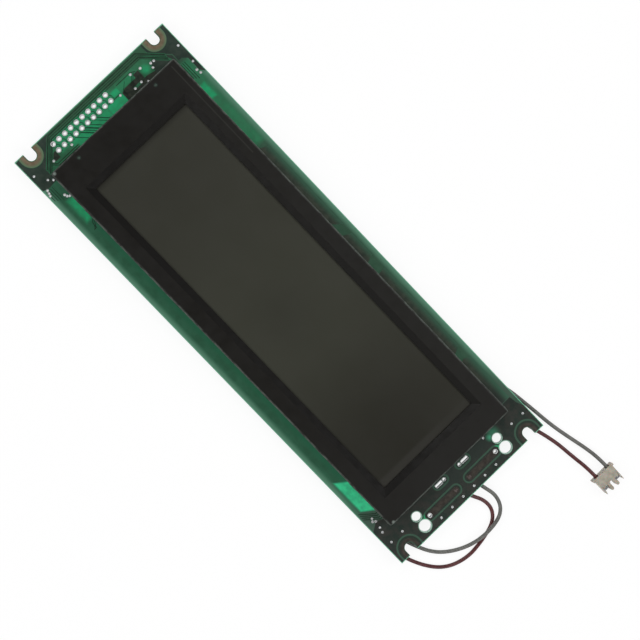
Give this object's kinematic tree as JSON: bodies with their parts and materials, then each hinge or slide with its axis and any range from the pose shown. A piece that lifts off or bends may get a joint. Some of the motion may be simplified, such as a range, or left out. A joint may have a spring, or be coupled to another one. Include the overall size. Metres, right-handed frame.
{
  "type": "graphic lcd module",
  "caption": "Graphic LCD module: display cell and backlight under a black bezel on a green circuit board, with an empty header and a two-wire backlight lead.",
  "frame": {"origin": "on the surface that the module rests on, under the middle of the circuit board", "axes": "+X along the board from the header to the backlight leads, +Y across the board, +Z out of the display's face"},
  "size_m": [0.2122, 0.0731, 0.0138],
  "materials": {
    "laminate": "green solder mask over glass laminate",
    "copper_land": "bare copper, dulled",
    "solder": "bright tin",
    "bezel_black": "black baked paint, matte",
    "polarizer_film": "grey-green film, matte",
    "cell_glass": "clear float glass",
    "cushion": "black soft sheet",
    "elastomer": "grey elastomer with fine bars",
    "white_plastic": "white moulded",
    "clear_plastic": "clear moulded acrylic",
    "film_white": "white film",
    "lamp": "yellow-green lamp resin in a white body",
    "package_black": "moulded epoxy",
    "lead_tin": "tinned leads",
    "epoxy": "black potting epoxy",
    "tantalum": "yellow moulded case",
    "resistor": "black glazed top, tinned ends",
    "ceramic": "tan ceramic, tinned ends",
    "resonator_blue": "blue coated",
    "grey_insulation": "grey vinyl",
    "red_insulation": "dark red vinyl",
    "nylon": "natural nylon, slightly clear"
  },
  "bodies": {
    "root": {"circuit_board": "laminate", "slot_lands": "copper_land", "backlight_lands": "copper_land", "header_rings": "solder", "bezel": "bezel_black", "front_polarizer": "polarizer_film", "front_glass": "cell_glass", "rear_glass": "cell_glass", "rear_polarizer": "polarizer_film", "cushion_frame": "cushion", "upper_contact_strip": "elastomer", "lower_contact_strip": "elastomer", "left_contact_strip": "elastomer", "diffuser": "film_white", "light_guide": "clear_plastic", "reflector": "film_white", "backlight_frame": "white_plastic", "lamp_board": "laminate", "lamps": "lamp", "lamp_pins": "lead_tin", "controller": "package_black", "controller_leads": "lead_tin", "memory": "package_black", "memory_leads": "lead_tin", "small_packages": "package_black", "small_package_leads": "lead_tin", "column_drivers": "epoxy", "row_driver": "epoxy", "tantalum_capacitors": "tantalum", "tantalum_terminals": "lead_tin", "chip_resistors": "resistor", "chip_capacitors": "ceramic", "resonator": "resonator_blue", "wire_joints": "solder", "grey_wire": "grey_insulation", "red_wire": "red_insulation", "connector_housing": "nylon", "crimp_terminals": "lead_tin"}
  },
  "joints": []
}
